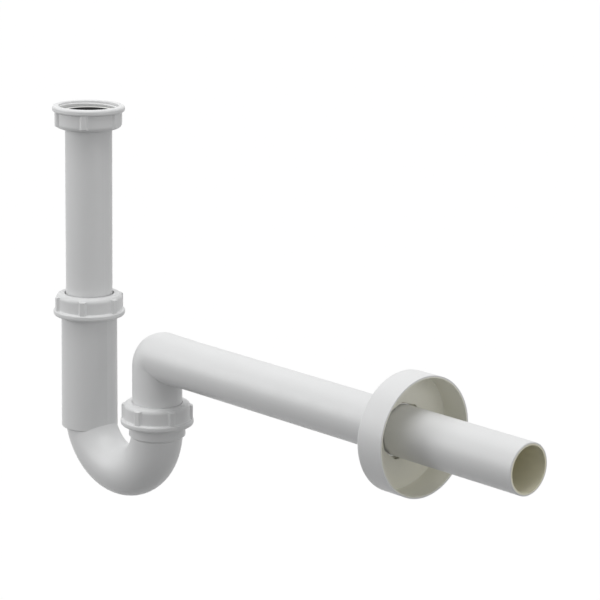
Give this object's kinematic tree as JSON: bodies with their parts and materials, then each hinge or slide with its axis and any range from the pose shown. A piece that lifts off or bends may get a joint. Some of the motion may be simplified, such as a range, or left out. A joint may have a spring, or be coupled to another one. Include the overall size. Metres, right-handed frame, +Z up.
{
  "type": "tubular trap",
  "caption": "White plastic tubular washbasin trap: straight inlet tube, U-shaped water-seal bend, ribbed union nuts, and a tight elbow with a long outlet pipe and a wall rosette.",
  "frame": {"origin": "middle of the inlet gasket's top face, on the inlet tube's axis, where the basin waste seats", "axes": "+Z up along the inlet tube, towards the basin; +X along the outlet pipe, towards the wall"},
  "size_m": [0.4243, 0.075, 0.2632],
  "materials": {
    "nut_white": "satin moulded polypropylene",
    "tube_white": "satin moulded polypropylene",
    "rosette_white": "satin moulded polypropylene, thin wall",
    "gasket_pale": "pale soft flat ring",
    "ring_white": "hard slip ring",
    "seal_rubber": "black wedge ring"
  },
  "bodies": {
    "inlet_tube": {"inlet_tube": "tube_white", "inlet_gasket": "gasket_pale"},
    "inlet_nut": {"inlet_nut": "nut_white"},
    "riser_seal": {"riser_seal": "seal_rubber"},
    "trap": {"trap_bend": "tube_white"},
    "riser_slip_ring": {"riser_slip_ring": "ring_white"},
    "riser_nut": {"riser_nut": "nut_white"},
    "outlet_slip_ring": {"outlet_slip_ring": "ring_white"},
    "outlet_nut": {"outlet_nut": "nut_white"},
    "outlet_seal": {"outlet_seal": "seal_rubber"},
    "outlet_bend": {"outlet_bend": "tube_white"},
    "rosette": {"wall_rosette": "rosette_white"}
  },
  "joints": [
    {"name": "inlet_nut_turn", "type": "hinge", "parent": "inlet_tube", "child": "inlet_nut", "pos_m": [0, 0, 0], "axis": [0, 0, 1], "continuous": true},
    {"name": "trap_height", "type": "slide", "parent": "inlet_tube", "child": "riser_seal", "axis": [0, 0, 1], "range_m": [-0.025, 0.03]},
    {"name": "trap_swivel", "type": "hinge", "parent": "riser_seal", "child": "trap", "pos_m": [0, 0, -0.132], "axis": [0, 0, 1], "continuous": true},
    {"name": "riser_ring_lift", "type": "slide", "parent": "trap", "child": "riser_slip_ring", "axis": [0, 0, 1], "range_m": [0, 0.009]},
    {"name": "riser_nut_turn", "type": "hinge", "parent": "riser_slip_ring", "child": "riser_nut", "pos_m": [0, 0, -0.132], "axis": [0, 0, 1], "range_deg": [0, 1080]},
    {"name": "outlet_ring_lift", "type": "slide", "parent": "trap", "child": "outlet_slip_ring", "axis": [0, 0, 1], "range_m": [0, 0.009]},
    {"name": "outlet_nut_turn", "type": "hinge", "parent": "outlet_slip_ring", "child": "outlet_nut", "pos_m": [0.072, 0, -0.1936], "axis": [0, 0, 1], "range_deg": [0, 1080]},
    {"name": "outlet_swivel", "type": "hinge", "parent": "trap", "child": "outlet_seal", "pos_m": [0.072, 0, -0.1936], "axis": [0, 0, 1], "range_deg": [-140, 140]},
    {"name": "outlet_depth", "type": "slide", "parent": "outlet_seal", "child": "outlet_bend", "axis": [0, 0, 1], "range_m": [-0.0035, 0.0045]},
    {"name": "rosette_slide", "type": "slide", "parent": "outlet_bend", "child": "rosette", "axis": [1, 0, 0], "range_m": [-0.14, 0.08]}
  ],
  "couplings": [
    {"joint": "riser_ring_lift", "follows": "riser_nut_turn", "m_per_rad": 0.00047746},
    {"joint": "outlet_ring_lift", "follows": "outlet_nut_turn", "m_per_rad": 0.00047746}
  ]
}
